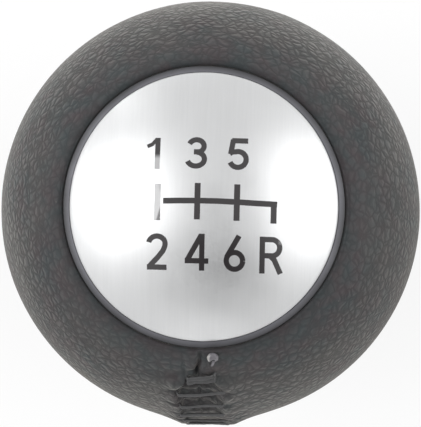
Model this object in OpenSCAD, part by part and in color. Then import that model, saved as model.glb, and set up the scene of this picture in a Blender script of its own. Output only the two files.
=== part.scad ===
// Leather covered gear shift knob: a ball on a short neck, with a domed pattern cap on top.
// The lever's axis is Z, the seat at the foot of the neck is z = 0, and the laced seam is on -Y.

/* [Ball] */
// Outer diameter of the leather covered ball
ball_d = 50; // [46:0.5:58]
// Height of the ball's centre above the seat
ball_z = 36; // [34:0.5:44]

/* [Cap] */
// Visible diameter of the domed cap, as a share of the ball's
cap_share = 0.608; // [0.52:0.004:0.64]
// Radius of the cap's dome
cap_dome_r = 26; // [22:0.5:40]
// Thickness of the pressed cap
cap_t = 0.8; // [0.5:0.1:1.2]
// Height of the cap's turned down edge
cap_skirt_h = 1.55; // [1.2:0.05:2.5]
// How far the cap's edge lies below the round of the ball
cap_sink = 0.8; // [0.2:0.05:1.2]
// Thickness of the adhesive disc under the cap
tape_t = 0.4; // [0.2:0.1:0.8]
// Wall of the cap's carrier
carrier_t = 2; // [1.4:0.1:2.6]

/* [Snap legs] */
// Number of snap legs on the carrier
leg_count = 4; // [3:1:6]
// Wall between the screw posts and the hole that the snap legs pass through
leg_hole_wall = 0.8; // [0.6:0.1:1.6]
// Thickness of a snap leg
leg_t = 1.2; // [0.9:0.1:1.6]
// Width of a snap leg
leg_w = 5; // [3:0.1:6]
// How far a snap leg's barb reaches under the pocket floor
leg_barb = 0.9; // [0.5:0.1:1.2]

/* [Bezel ring] */
// Visible width of the bezel ring
bezel_w = 0.65; // [0.5:0.05:1.2]
// Height of the bezel's lip above its ledge
bezel_lip_h = 1.35; // [1:0.05:2]
// Slope of the bezel's lip, from its inner to its outer edge
bezel_fall = 0.3; // [0:0.05:0.5]
// Wall of the bezel's ledge and skirt
bezel_wall = 0.8; // [0.6:0.05:1]
// Width of the ledge that carries the cap
bezel_ledge_w = 2.1; // [1.6:0.1:2.2]
// Number of lugs on the bezel's skirt
lug_count = 3; // [2:1:4]
// Width of a lug
lug_w = 4; // [2:0.1:5]

/* [Leather and padding] */
// Thickness of the leather
leather_t = 1.2; // [1:0.1:1.4]
// Radius of the leather's roll into the mouth
roll_r = 1; // [0.6:0.1:1.2]
// How deep the leather is tucked into the mouth
tuck_h = 5; // [3:0.1:5.4]
// Thickness of the padding under the leather
foam_t = 1.5; // [1:0.1:2.2]
// Angle below the equator at which the padding ends
foam_low_a = 45; // [30:1:48]

/* [Laced seam] */
// Diameter of the lacing thread
thread_d = 0.6; // [0.5:0.05:0.7]
// Number of thread bars across the seam
bar_count = 14; // [8:1:14]
// Angle from the leather's mouth to the first bar
bar_drop_a = 12.7; // [12.5:0.1:15]
// Angle from one bar to the next
bar_step_a = 5.9; // [5:0.1:6]
// Half of the distance between the two rows of stitch holes
hole_half = 2.75; // [2.4:0.05:3]
// How far the laced lips stand above the round of the ball
lip_h = 0.5; // [0.3:0.05:0.8]
// Half of the width of the raised seam at its foot
lip_half = 6; // [5:0.1:7]
// Depth of the valley between the lips, below their crest
valley_h = 1.3; // [0.8:0.05:1.3]
// How quickly lips and valley run out at the ends of the lacing
runout = 5; // [3:0.5:8]
// Width of the closed crease above and below the lacing
crease_w = 0.3; // [0.2:0.05:0.5]
// Depth of the closed crease
crease_h = 0.5; // [0.3:0.05:0.7]
// Diameter of the thread's melted end
knot_d = 1.4; // [1:0.1:1.8]
// Angle between the melted end and the first bar
knot_up_a = 10.2; // [9.8:0.1:10.3]
// Distance of the melted end from the seam's middle
knot_x = 1.45; // [0.5:0.05:2]
// Height of the melted end's middle above the round of the ball
knot_rise = 0.25; // [0.25:0.05:0.5]
// Angle between the hole of the thread's tail and the first bar
tail_up_a = 5; // [4.6:0.1:5.4]
// Distance of the tail's hole from the seam's middle
tail_x = 1.45; // [0.9:0.05:2]

/* [Neck] */
// Diameter of the leather covered neck
neck_d = 25; // [24:0.2:27]
// Radius of the hollow between neck and ball
neck_fillet_r = 8; // [6:0.5:10]

/* [Core] */
// Wall of the moulded core
core_wall = 2.4; // [2:0.1:2.8]
// Depth of the pocket under the bezel's ledge
pocket_h = 6.1; // [5.6:0.1:7]
// Thickness of the pocket floor
floor_t = 2.2; // [1.6:0.1:2.6]
// Length of the spigot that centres the two halves
spigot_h = 2; // [1:0.1:3]
// Radius of the screw posts
post_r = 2.8; // [2.5:0.1:3]
// Number of ribs under the weight
rib_count = 6; // [3:3:6]
// Thickness of the ribs
rib_t = 1.6; // [1:0.1:2.2]
// Radius of the pins that hold the balance weight down
hold_pin_r = 1.5; // [1.2:0.1:2]

/* [Core screws] */
// Diameter of the screw's shank
screw_d = 2.9; // [2.5:0.1:3]
// Length of the screw's shank
screw_l = 16; // [13:0.5:18]
// Diameter of the screw's head
screw_head_d = 3.8; // [3.4:0.1:4]
// Height of the screw's head
screw_head_h = 1.6; // [1.2:0.1:2]

/* [Balance weight] */
// Height of the balance weight
weight_h = 9; // [5:0.5:10]
// Gap between the balance weight and the lower half's parting face
weight_drop = 2; // [1:0.5:4]

/* [Threaded insert] */
// Outer diameter of the insert
insert_d = 15; // [14:0.2:16]
// Length of the insert
insert_l = 24; // [18:0.5:25]
// Minor diameter of the thread
bore_d = 10.66; // [8.6:0.02:10.8]
// Depth of the thread
bore_l = 22; // [14:0.5:22.5]
// Depth of the insert above the seat
insert_z = 7; // [6.8:0.1:9]
// Width of the insert's two grooves
insert_groove_w = 1.5; // [1:0.1:2.5]
// Depth of the insert's grooves
insert_groove_h = 0.7; // [0.3:0.1:0.9]
// Distance of the grooves from the insert's ends
insert_groove_at = 7.2; // [5:0.2:8.4]
// Wall of the tube that holds the insert inside the ball
tube_wall = 2.6; // [1.8:0.1:2.6]

/* [Neck collar] */
// Wall of the collar outside the leather
collar_wall = 0.7; // [0.6:0.1:2.4]
// Height of the collar
collar_h = 4.4; // [3.4:0.1:6]
// Thickness of the collar's base
collar_base = 2; // [1.4:0.1:2.4]
// Wall of the core's neck round the collar's spigot
neck_wall = 1.9; // [1.7:0.1:2.1]
// Wall of the collar's spigot
collar_spigot_t = 1.2; // [1:0.1:1.4]
// Chamfer on the collar's edges
collar_chamfer = 0.5; // [0.3:0.1:0.6]
// Diameter of the retaining ring's wire
wire_d = 0.9; // [0.7:0.1:1]
// Height of the wire's centre above the collar's base
wire_up = 2.9; // [2.4:0.1:3.2]

/* [Clearances] */
// Gap between glued or seated faces
glue_gap = 0.1; // [0.05:0.01:0.15]
// Gap between the bezel ring and the leather's roll
mouth_gap = 0.15; // [0.1:0.01:0.25]
// Gap round screws and legs
play = 0.15; // [0.1:0.01:0.25]

/* [Hidden] */
$fn = 96;
// Reach of the cutting shapes past the part, and the overlap that fuses two shapes
far = 60;
bite = 0.4;
// Angle between two points of a rounded outline
arc_step = 4;

// Radii of the layers of the ball, from the outside inwards
ball_r = ball_d / 2;
leather_in_r = ball_r - leather_t;
land_r = leather_in_r - glue_gap;
foam_in_r = land_r - foam_t;
core_r = foam_in_r - glue_gap;
core_in_r = core_r - core_wall;

// Radii round the cap, from the axis outwards
cap_r = ball_d * cap_share / 2;
bezel_in_r = cap_r + glue_gap;
bezel_r = bezel_in_r + bezel_w;
mouth_r = bezel_r + mouth_gap;
tuck_r = mouth_r + leather_t;
pocket_r = tuck_r + glue_gap;
ledge_r = bezel_in_r - bezel_ledge_w;
skirt_in_r = bezel_r - bezel_wall;
screw_at = skirt_in_r - screw_head_d / 2 - play;
leg_hole_r = screw_at - post_r - leg_hole_wall;

// Heights round the cap
cap_edge_z = ball_z + sqrt(pow(ball_r, 2) - pow(cap_r, 2)) - cap_sink;
dome_z = cap_edge_z - sqrt(pow(cap_dome_r, 2) - pow(cap_r, 2));
cap_foot_z = cap_edge_z - cap_skirt_h;
ledge_z = cap_foot_z - glue_gap;
floor_z = ledge_z - pocket_h;
floor_low_z = floor_z - floor_t;
tape_r = cap_dome_r - cap_t - glue_gap;
carrier_r = tape_r - tape_t - glue_gap;
carrier_in_r = carrier_r - carrier_t;
carrier_rim_r = cap_r - cap_t - glue_gap;
lug_low_z = floor_low_z - play;
foam_top_z = floor_low_z;
foam_top_a = asin((foam_top_z - ball_z) / land_r);

// Neck: radii, and the centre of the hollow between neck and ball
neck_r = neck_d / 2;
fillet_x = neck_r + neck_fillet_r;
fillet_z = ball_z - sqrt(pow(ball_r + neck_fillet_r, 2) - pow(fillet_x, 2));
fillet_a = atan2(ball_z - fillet_z, -fillet_x);
neck_foot_z = collar_base + glue_gap;
bore_r = bore_d / 2;
collar_r = neck_r + glue_gap + collar_wall;
counterbore_r = neck_r - leather_t - glue_gap - neck_wall;
spigot_r = counterbore_r - glue_gap;
collar_hole_r = spigot_r - collar_spigot_t;
spigot_top_z = insert_z - 2 * glue_gap;
wire_r = wire_d / 2;
wire_z = collar_base + wire_up;

// Insert, its tube and the weight
insert_r = insert_d / 2;
tube_r = insert_r + tube_wall;
tube_top_z = insert_z + insert_l;
weight_top_z = ball_z - weight_drop;
weight_z = weight_top_z - weight_h;
rib_top_z = weight_z - glue_gap;

// Screws: the posts meet a little above the parting face
screw_r = screw_d / 2;
post_split_z = ball_z + spigot_h;
screw_turn = 30;
pin_turn = screw_turn + 60;
lug_turn = 0;

// Laced seam: distances from the ball's centre
lip_r = ball_r + lip_h;
valley_r = lip_r - valley_h;
bar_r = lip_r - thread_d / 4;
under_r = leather_in_r - thread_d / 2 - glue_gap;
channel_r = under_r - thread_d / 2 - glue_gap;
channel_half = hole_half + thread_d;
bar_first_a = asin(mouth_r / ball_r) + bar_drop_a;
bar_last_a = bar_first_a + (bar_count - 1) * bar_step_a;
lip_first_a = bar_first_a - bar_step_a / 2;
lip_last_a = bar_last_a + bar_step_a / 2;
knot_a = bar_first_a - knot_up_a;
tail_a = bar_first_a - tail_up_a;

function arc(x, z, r, a0, a1, n) = [
    for (i = [0:n]) let(a = a0 + (a1 - a0) * i / n) [x + r * cos(a), z + r * sin(a)]];
function steps(a0, a1) = max(2, ceil(abs(a1 - a0) / arc_step));
function round_arc(x, z, r, a0, a1) = arc(x, z, r, a0, a1, steps(a0, a1));
// Angle above the level, seen from the ball's centre, at which a circle of radius r reaches x
function level(r, x) = acos(x / r);
// A point of the seam: x across it, r from the ball's centre, a from the top of the ball
function seam_point(x, r, a) = [x, -r * sin(a), ball_z + r * cos(a)];

// Half outline of neck, hollow and ball at a distance inside the leather's face, from foot to top_a
function skin(inset, foot_z, top_a) = concat(
    [[neck_r - inset, foot_z]],
    round_arc(fillet_x, fillet_z, neck_fillet_r + inset, 180, fillet_a),
    round_arc(0, ball_z, ball_r - inset, fillet_a - 180 + bite, top_a));

module revolve(points) {
    rotate_extrude() polygon(points);
}

// Sweeps an outline of [distance from the ball's centre, x] along the seam
module along_seam(a0, a1) {
    translate([0, 0, ball_z]) rotate([180, -90, 0]) rotate([0, 0, a0])
        rotate_extrude(angle = a1 - a0) children();
}

module rod(p, q, r) {
    v = q - p;
    translate(p) rotate([0, acos(v.z / norm(v)), atan2(v.y, v.x)]) cylinder(h = norm(v), r = r, $fn = 24);
}

module ring_copies(count, turn, at) {
    for (i = [0:count - 1]) rotate([0, 0, turn + i * 360 / count]) translate([at, 0, 0]) children();
}

module tube(r_out, r_in, z0, z1) {
    revolve([[r_in, z0], [r_out, z0], [r_out, z1], [r_in, z1]]);
}

// Pressed dome with a turned down edge
module pattern_cap() {
    edge_a = level(cap_dome_r, cap_r - cap_t / 2);
    in_a = level(cap_dome_r - cap_t, cap_r - cap_t);
    color("gainsboro") revolve(concat(
        round_arc(0, dome_z, cap_dome_r, 90, edge_a),
        [[cap_r, cap_edge_z - cap_t / 2], [cap_r, cap_foot_z], [cap_r - cap_t, cap_foot_z]],
        round_arc(0, dome_z, cap_dome_r - cap_t, in_a, 90)));
}

module cap_tape() {
    rim_r = carrier_rim_r - 2 * glue_gap;
    color("dimgray") revolve(concat(
        round_arc(0, dome_z, tape_r, 90, level(tape_r, rim_r)),
        round_arc(0, dome_z, tape_r - tape_t, level(tape_r - tape_t, rim_r), 90)));
}

// Snap leg that follows the round of its hole, with a barb that hooks under the pocket floor
module snap_leg() {
    out = leg_hole_r - play;
    barb_z = floor_low_z - play;
    root_z = dome_z + sqrt(pow(carrier_in_r, 2) - pow(out, 2)) + bite;
    intersection() {
        revolve([[out - leg_t, root_z], [out, root_z], [out, barb_z], [out + leg_barb, barb_z],
            [out, barb_z - 2 * leg_barb], [out - leg_t, barb_z - 2 * leg_barb]]);
        translate([0, -leg_w / 2, 0]) cube([far, leg_w, far + ball_z]);
    }
}

module cap_carrier() {
    rest_z = cap_foot_z;
    in_x = sqrt(pow(carrier_in_r, 2) - pow(rest_z - dome_z, 2));
    color("#26282a") union() {
        revolve(concat(
            round_arc(0, dome_z, carrier_r, 90, level(carrier_r, carrier_rim_r)),
            [[carrier_rim_r, rest_z]],
            round_arc(0, dome_z, carrier_in_r, level(carrier_in_r, in_x), 90)));
        ring_copies(leg_count, 0, 0) snap_leg();
    }
}

// Visible lip, ledge for the cap and skirt that presses the tucked leather outwards
module bezel_ring() {
    lip_top_z = ledge_z + bezel_lip_h;
    color("#55565c") union() {
        revolve([[ledge_r, ledge_z], [bezel_in_r, ledge_z], [bezel_in_r, lip_top_z],
            [bezel_r - bezel_w / 4, lip_top_z - bezel_fall / 2], [bezel_r, lip_top_z - bezel_fall],
            [bezel_r, floor_z + glue_gap], [skirt_in_r, floor_z + glue_gap],
            [skirt_in_r, ledge_z - bezel_wall],
            [ledge_r, ledge_z - bezel_wall]]);
        intersection() {
            tube(bezel_r, skirt_in_r, lug_low_z, floor_z + bite);
            ring_copies(lug_count, lug_turn, bezel_r) translate([-bezel_w - 1, -lug_w / 2, lug_low_z])
                cube([2 * bezel_w + 2, lug_w, floor_z - lug_low_z + bite]);
        }
    }
}

// Outline of the raised lips across the seam, as [distance from the ball's centre, x]
function lip_side() = [
    [lip_r - valley_h * 0.3, hole_half * 0.76],
    [lip_r - valley_h * 0.04, hole_half * 0.91],
    [lip_r, hole_half * 1.09],
    [lip_r - lip_h * 0.4, hole_half * 1.31],
    [lip_r - lip_h * 1.04, hole_half * 1.56],
    [ball_r - lip_h * 0.66, lip_half * 0.85],
    [sqrt(pow(ball_r, 2) - pow(lip_half, 2)) - bite / 2, lip_half]];

// Round bar across the seam that leaves the ball's face at the two ends of the lacing; side is 1 where its
// middle stands out of the ball and -1 where its middle lies inside
module runout_bar(end_r, side) {
    half_a = (lip_last_a - lip_first_a) / 2;
    r = sqrt(pow(end_r - side * runout * cos(half_a), 2) + pow(runout * sin(half_a), 2));
    translate(seam_point(-far, side * runout, lip_first_a + half_a)) rotate([0, 90, 0])
        cylinder(h = 2 * far, r = r);
}

module lips() {
    half = lip_side();
    intersection() {
        along_seam(lip_first_a, lip_last_a) polygon(concat(
            half, [[leather_in_r + bite, lip_half], [leather_in_r + bite, -lip_half]],
            [for (i = [len(half) - 1:-1:0]) [half[i].x, -half[i].y]]));
        runout_bar(ball_r - bite / 4, 1);
    }
}

module valley() {
    half = lip_side()[0];
    difference() {
        along_seam(lip_first_a, lip_last_a) polygon([
            [valley_r, 0], [half.x, half.y], [lip_r + bite, half.y * 1.16],
            [lip_r + bite, -half.y * 1.16], [half.x, -half.y]]);
        runout_bar(ball_r + bite / 2, -1);
    }
}

// The two edges of the hide meet in a fine crease from the mouth down to the collar
module crease() {
    difference() {
        translate([-crease_w / 2, -far, -far]) cube([crease_w, far, 3 * far]);
        revolve(concat(
            [[0, -far], [neck_r - crease_h, -far]],
            skin(crease_h, 0, level(ball_r - crease_h, mouth_r + crease_h)),
            [[mouth_r + crease_h, 3 * far], [0, 3 * far]]));
    }
}

function bar_a(i) = bar_first_a + i * bar_step_a;

// Holes through the lips, and the open notches that the bars press into them
module stitch_holes() {
    r = thread_d / 2 + play / 4;
    low_r = leather_in_r - 1;
    notch = thread_d + play;
    notch_half = hole_half + thread_d * 0.75;
    notch_low_r = bar_r - notch / 2;
    for (i = [0:bar_count - 1]) {
        for (x = [-hole_half, hole_half])
            rod(seam_point(x, low_r, bar_a(i)), seam_point(x, bar_r, bar_a(i)), r);
        translate([0, 0, ball_z]) rotate([bar_a(i), 0, 0]) translate([-notch_half, -notch / 2, notch_low_r])
            cube([2 * notch_half, notch, 2]);
    }
    rod(seam_point(tail_x, low_r, tail_a), seam_point(tail_x, ball_r + 1, tail_a), r);
}

// Hide of the ball and neck, rolled into the mouth and trapped in the collar
module leather_cover() {
    roll_x = mouth_r + roll_r;
    roll_a = level(ball_r - roll_r, roll_x);
    roll_z = ball_z + (ball_r - roll_r) * sin(roll_a);
    tuck_z = ledge_z - tuck_h;
    inner = skin(leather_t, neck_foot_z, level(leather_in_r, tuck_r));
    color("#2b2c2e") difference() {
        union() {
            revolve(concat(
                skin(0, neck_foot_z, roll_a - bite),
                round_arc(roll_x, roll_z, roll_r, roll_a + 10, 180),
                [[mouth_r, tuck_z], [tuck_r, tuck_z]],
                [for (i = [len(inner) - 1:-1:0]) inner[i]]));
            lips();
        }
        valley();
        crease();
        stitch_holes();
    }
}

// One thread: bars across the valley, legs through the lips, slanting passes underneath
module seam_thread() {
    r = thread_d / 2;
    tail_r = ball_r + r * 1.1 + glue_gap / 2;
    path = concat(
        [seam_point(knot_x, tail_r, knot_a), seam_point(tail_x, tail_r, tail_a),
            seam_point(tail_x, under_r, tail_a)],
        [for (i = [0:bar_count - 1], k = [0:3])
            seam_point(k < 2 ? hole_half : -hole_half, k % 3 == 0 ? under_r : bar_r, bar_a(i))]);
    color("#1c1c1e") union() {
        for (i = [0:len(path) - 2]) rod(path[i], path[i + 1], r);
        for (p = path) translate(p) sphere(r = r * 1.1, $fn = 24);
        translate(seam_point(knot_x, ball_r + knot_rise, knot_a)) sphere(d = knot_d, $fn = 32);
    }
}

// Groove in what lies under the leather, for the slanting passes of the thread
module thread_channel() {
    along_seam(tail_a - bar_step_a / 3, lip_last_a) polygon([
        [channel_r, -channel_half], [ball_r, -channel_half],
        [ball_r, channel_half], [channel_r, channel_half]]);
}

module foam_liner() {
    top_a = foam_top_a - 0.4;
    color("#3a3a3a") difference() {
        revolve(concat(
            round_arc(0, ball_z, land_r, -foam_low_a, top_a),
            round_arc(0, ball_z, foam_in_r, top_a, -foam_low_a)));
        thread_channel();
    }
}

module upper_core() {
    mouth_a = level(land_r, pocket_r + 0.4);
    mouth_z = ball_z + land_r * sin(mouth_a);
    shelf_a = asin((foam_top_z - ball_z) / core_r);
    in_x = sqrt(pow(core_in_r, 2) - pow(floor_low_z - ball_z, 2));
    spigot_out_r = core_in_r + core_wall / 2 - glue_gap;
    color("#303236") difference() {
        union() {
            revolve(concat(
                round_arc(0, ball_z, core_r, 0, shelf_a),
                round_arc(0, ball_z, land_r, foam_top_a, mouth_a),
                [[pocket_r, mouth_z], [pocket_r, floor_z], [leg_hole_r, floor_z], [leg_hole_r, floor_low_z]],
                round_arc(0, ball_z, core_in_r, level(core_in_r, in_x), 0),
                [[core_in_r, ball_z - spigot_h], [spigot_out_r, ball_z - spigot_h], [spigot_out_r, ball_z]]));
            ring_copies(3, screw_turn, screw_at) translate([0, 0, post_split_z])
                cylinder(h = floor_z - bite - post_split_z, r = post_r);
            ring_copies(3, pin_turn, screw_at) translate([0, 0, weight_top_z + glue_gap])
                cylinder(h = floor_z - bite - weight_top_z, r = hold_pin_r);
        }
        ring_copies(3, screw_turn, screw_at) translate([0, 0, -far])
            cylinder(h = 3 * far, r = screw_r + play);
        intersection() {
            tube(bezel_r + play, skirt_in_r - play, floor_low_z - 1, floor_z + 1);
            ring_copies(lug_count, lug_turn, bezel_r)
                translate([-bezel_w - 2, -lug_w / 2 - play, floor_low_z - 2])
                cube([2 * bezel_w + 4, lug_w + 2 * play, floor_t + 4]);
        }
        thread_channel();
    }
}

// Outer form of the insert, grown where the core is moulded round it
module insert_form(grow) {
    r = insert_r + grow;
    neck = r - insert_groove_h;
    w = insert_groove_w / 2 - grow;
    z1 = insert_z + insert_groove_at;
    z2 = tube_top_z - insert_groove_at;
    revolve([[0, insert_z - grow], [r, insert_z - grow],
        [r, z1 - w], [neck, z1 - w], [neck, z1 + w], [r, z1 + w],
        [r, z2 - w], [neck, z2 - w], [neck, z2 + w], [r, z2 + w],
        [r, tube_top_z + grow], [0, tube_top_z + grow]]);
}

module lower_core() {
    low_a = -foam_low_a - 0.4;
    rebate_r = core_in_r + core_wall / 2;
    outline = skin(leather_t + glue_gap, neck_foot_z, low_a);
    color("#303236") difference() {
        union() {
            difference() {
                revolve(concat(
                    [[0, neck_foot_z]], outline,
                    round_arc(0, ball_z, core_r, low_a, 0), [[0, ball_z]]));
                revolve(concat(
                    round_arc(0, ball_z, core_in_r, -level(core_in_r, tube_r), 0),
                    [[core_in_r, ball_z + far], [0, ball_z + far], [0, tube_top_z], [tube_r, tube_top_z]]));
            }
            intersection() {
                union() {
                    ring_copies(rib_count, 0, 0) translate([tube_r - bite, -rib_t / 2, neck_foot_z])
                        cube([far, rib_t, rib_top_z - neck_foot_z]);
                    ring_copies(3, screw_turn, screw_at) translate([0, 0, neck_foot_z])
                        cylinder(h = post_split_z - glue_gap - neck_foot_z, r = post_r);
                    ring_copies(3, screw_turn, 0) translate([tube_r - bite, -rib_t / 2, neck_foot_z])
                        cube([screw_at - tube_r, rib_t, tube_top_z - neck_foot_z]);
                }
                translate([0, 0, ball_z]) sphere(r = core_in_r + bite);
            }
        }
        tube(rebate_r, core_in_r - bite, ball_z - spigot_h - glue_gap, ball_z + 1);
        insert_form(glue_gap / 2);
        translate([0, 0, -1]) cylinder(h = insert_z + 1 + bite / 2, r = counterbore_r);
        tube(counterbore_r + wire_r, counterbore_r - bite,
            wire_z - wire_r - glue_gap, wire_z + wire_r + glue_gap);
        ring_copies(3, screw_turn, screw_at) translate([0, 0, floor_z - screw_l - 1])
            cylinder(h = far, r = screw_r + glue_gap / 2);
        thread_channel();
    }
}

// Pan head screw with a cross recess in its head
module core_screw(i) {
    recess = screw_head_d * 0.6;
    color("silver") rotate([0, 0, screw_turn + i * 120]) translate([screw_at, 0, floor_z]) difference() {
        union() {
            revolve([[0, glue_gap / 2], [screw_head_d / 2, glue_gap / 2],
                [screw_head_d / 2, screw_head_h / 2], [screw_head_d / 3, screw_head_h], [0, screw_head_h]]);
            revolve([[0, -screw_l], [screw_r / 3, -screw_l], [screw_r, -screw_l + screw_d / 2],
                [screw_r, bite], [0, bite]]);
        }
        for (a = [0, 90]) rotate([0, 0, a]) translate([-recess / 2, -screw_head_d / 16, screw_head_h / 2])
            cube([recess, screw_head_d / 8, screw_head_h]);
    }
}

// Cast ring that fills the lower half of the ball round the insert's tube, notched for the screw posts
module balance_weight() {
    in_r = tube_r + 2 * play;
    out_r = core_in_r - 2 * play;
    low_a = asin((weight_z - ball_z) / out_r);
    top_a = asin((weight_top_z - ball_z) / out_r);
    color("slategray") difference() {
        revolve(concat(
            [[in_r, weight_z]],
            round_arc(0, ball_z, out_r, low_a, top_a),
            [[in_r, weight_top_z]]));
        ring_copies(3, screw_turn, screw_at) translate([0, 0, -far])
            cylinder(h = 3 * far, r = post_r + 2 * play);
    }
}

module threaded_insert() {
    color("goldenrod") difference() {
        insert_form(0);
        translate([0, 0, insert_z - 1]) cylinder(h = bore_l + 1, r = bore_r);
    }
}

// Trim ring with a wall outside the leather and a spigot inside the neck
module neck_collar() {
    wall_in = neck_r + glue_gap;
    c = collar_chamfer;
    groove_r = spigot_r - wire_r - glue_gap;
    color("#2a2a2c") revolve([[collar_hole_r, 0], [collar_r - c, 0], [collar_r, c],
        [collar_r, collar_h - c / 2], [collar_r - c / 2, collar_h],
        [wall_in, collar_h], [wall_in, collar_base], [spigot_r, collar_base],
        [spigot_r, wire_z - wire_r - glue_gap], [groove_r, wire_z - wire_r - glue_gap],
        [groove_r, wire_z + wire_r + glue_gap], [spigot_r, wire_z + wire_r + glue_gap],
        [spigot_r, spigot_top_z - c / 2], [spigot_r - c / 2, spigot_top_z], [collar_hole_r, spigot_top_z]]);
}

// Split wire ring that springs into the groove of the neck
module retaining_ring() {
    color("lightsteelblue") translate([0, 0, wire_z]) rotate([0, 0, 10]) rotate_extrude(angle = 340)
        translate([spigot_r + glue_gap / 2, 0]) circle(r = wire_r - glue_gap / 2, $fn = 24);
}

pattern_cap();
cap_tape();
cap_carrier();
bezel_ring();
leather_cover();
seam_thread();
foam_liner();
upper_core();
lower_core();
core_screw(0);  // core_screw_1
core_screw(1);  // core_screw_2
core_screw(2);  // core_screw_3
balance_weight();
threaded_insert();
neck_collar();
retaining_ring();
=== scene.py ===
import math
from functools import cache

import bmesh
import bpy
import numpy as np
from bpy.props import FloatProperty, FloatVectorProperty, IntProperty, PointerProperty
from bpy.types import NodeSocket, Operator, Panel, PropertyGroup
from mathutils import Matrix, Quaternion, Vector, noise


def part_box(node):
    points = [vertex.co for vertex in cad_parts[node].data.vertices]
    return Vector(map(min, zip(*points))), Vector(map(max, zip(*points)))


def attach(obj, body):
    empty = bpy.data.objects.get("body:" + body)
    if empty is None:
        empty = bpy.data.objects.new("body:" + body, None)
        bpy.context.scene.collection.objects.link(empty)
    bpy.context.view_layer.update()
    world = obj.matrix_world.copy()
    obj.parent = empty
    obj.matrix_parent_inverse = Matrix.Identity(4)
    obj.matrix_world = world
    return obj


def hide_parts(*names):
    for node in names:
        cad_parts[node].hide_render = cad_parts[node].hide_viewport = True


bl_info = {
    "name": "Leather gear shift knob",
    "version": (1, 0, 0),
    "blender": (4, 5, 0),
    "location": "View3D > Sidebar > Shift Knob",
    "description": "Dresses the shift knob's solids with leather, lacing, metal trim and a shift pattern",
    "category": "Object",
}

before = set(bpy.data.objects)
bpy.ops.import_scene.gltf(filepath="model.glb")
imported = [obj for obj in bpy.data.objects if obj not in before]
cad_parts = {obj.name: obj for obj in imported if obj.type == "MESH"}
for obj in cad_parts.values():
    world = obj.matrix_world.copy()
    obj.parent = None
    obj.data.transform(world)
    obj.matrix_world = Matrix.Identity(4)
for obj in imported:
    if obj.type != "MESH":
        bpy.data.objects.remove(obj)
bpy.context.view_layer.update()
MM = 0.001


def cad_box(node):
    """Lowest and highest corner of a solid, in metres."""
    low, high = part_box(node)
    return Vector(low), Vector(high)


CAP_HIGH = cad_box("pattern_cap")[1]
BEZEL_LOW, BEZEL_HIGH = cad_box("bezel_ring")
LEATHER_LOW, LEATHER_HIGH = cad_box("leather_cover")
COLLAR_LOW, COLLAR_HIGH = cad_box("neck_collar")
INSERT_LOW, INSERT_HIGH = cad_box("threaded_insert")


def length(name, text, default):
    return FloatProperty(name=name, description=text, default=default, min=0.0, max=1.0, subtype="DISTANCE",
                         unit="LENGTH", precision=5)


def colour(name, text, default):
    return FloatVectorProperty(name=name, description=text, default=default, size=3, min=0.0, max=1.0,
                               subtype="COLOR")


def share(name, text, default):
    return FloatProperty(name=name, description=text, default=default, min=0.0, max=1.0, subtype="FACTOR")


def angle(name, text, degrees):
    return FloatProperty(name=name, description=text, default=math.radians(degrees), subtype="ANGLE")


class LeatherSettings(PropertyGroup):
    ball_radius: length("Ball radius", "Outer radius of the covered ball", LEATHER_HIGH.x - 0.045 * MM)
    ball_height: length("Ball height", "Height of the ball's centre above the seat", 36 * MM)
    thickness: length("Thickness", "Thickness of the hide", 1.2 * MM)
    mouth_radius: length("Mouth radius", "Radius at which the hide turns down beside the bezel", 15.985 * MM)
    roll_radius: length("Roll radius", "Radius of the turned edge beside the bezel", 0.43 * MM)
    tuck_depth: length("Tuck depth", "How far the hide reaches down beside the bezel", 5.9 * MM)
    neck_radius: length("Neck radius", "Radius of the covered neck", 12.5 * MM)
    hollow_radius: length("Hollow radius", "Radius of the hollow between neck and ball", 8.0 * MM)
    foot_height: length("Foot height", "Height at which the hide is trapped by the collar", LEATHER_LOW.z)
    lip_height: length("Lip height", "How far the laced lips stand out of the ball", 0.66 * MM)
    lip_fall: length("Lip fall", "Distance over which a lip falls away to the round", 1.5 * MM)
    crest: length("Crest", "Distance from the seam to the crest of a lip", 3.05 * MM)
    valley_depth: length("Valley depth", "Depth of the valley between the lips, below the round", 0.85 * MM)
    crease_width: length("Crease width", "Width of the closed crease", 0.40 * MM)
    crease_depth: length("Crease depth", "Depth of the closed crease", 0.55 * MM)
    hide: colour("Hide", "Colour of the dyed hide", (0.0238, 0.0240, 0.0257))
    # Paler warm colour towards the girth: partly wear, partly painted rim light.
    worn_and_rim_lit_hide: colour("Worn hide", "Colour of the hide where hands rub it", (0.0392, 0.0378, 0.0362))
    roughness: share("Roughness", "Roughness of the hide", 0.56)
    grain: length("Grain", "Size of one pebble of the grain", 1.02 * MM)
    grain_relief: share("Grain relief", "Strength of the grain's relief", 0.36)


class LacingSettings(PropertyGroup):
    thickness: length("Thickness", "Thickness of the lacing thread", 0.6 * MM)
    bars: IntProperty(name="Bars", description="Number of thread bars across the seam", default=14, min=4,
                      max=20)
    first: angle("First bar", "Angle of the first bar from the top of the ball", 52.8)
    step: angle("Step", "Angle from one bar to the next", 5.9)
    half: length("Half bar", "Half of the distance between the two rows of holes", 2.75 * MM)
    flatness: share("Flatness", "Thickness of a bar as a share of its width", 0.55)
    bed: length("Bed", "Height of the bars' middle above the round of the ball", 0.49 * MM)
    knot: length("Knot", "Diameter of the melted end", 1.24 * MM)
    knot_up: angle("Knot above first bar", "Angle between the melted end and the first bar", 10.6)
    knot_side: length("Knot beside seam", "Distance of the melted end from the seam's middle", 1.45 * MM)
    thread: colour("Thread", "Colour of the waxed thread", (0.030, 0.030, 0.031))
    melted: colour("Melted thread", "Colour of the melted end", (0.10, 0.095, 0.105))
    # Painted highlight on the melted end's left side.
    melted_highlight: colour("Thin melted thread", "Colour of the thread's thin melted end", (0.30, 0.29, 0.28))


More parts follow.
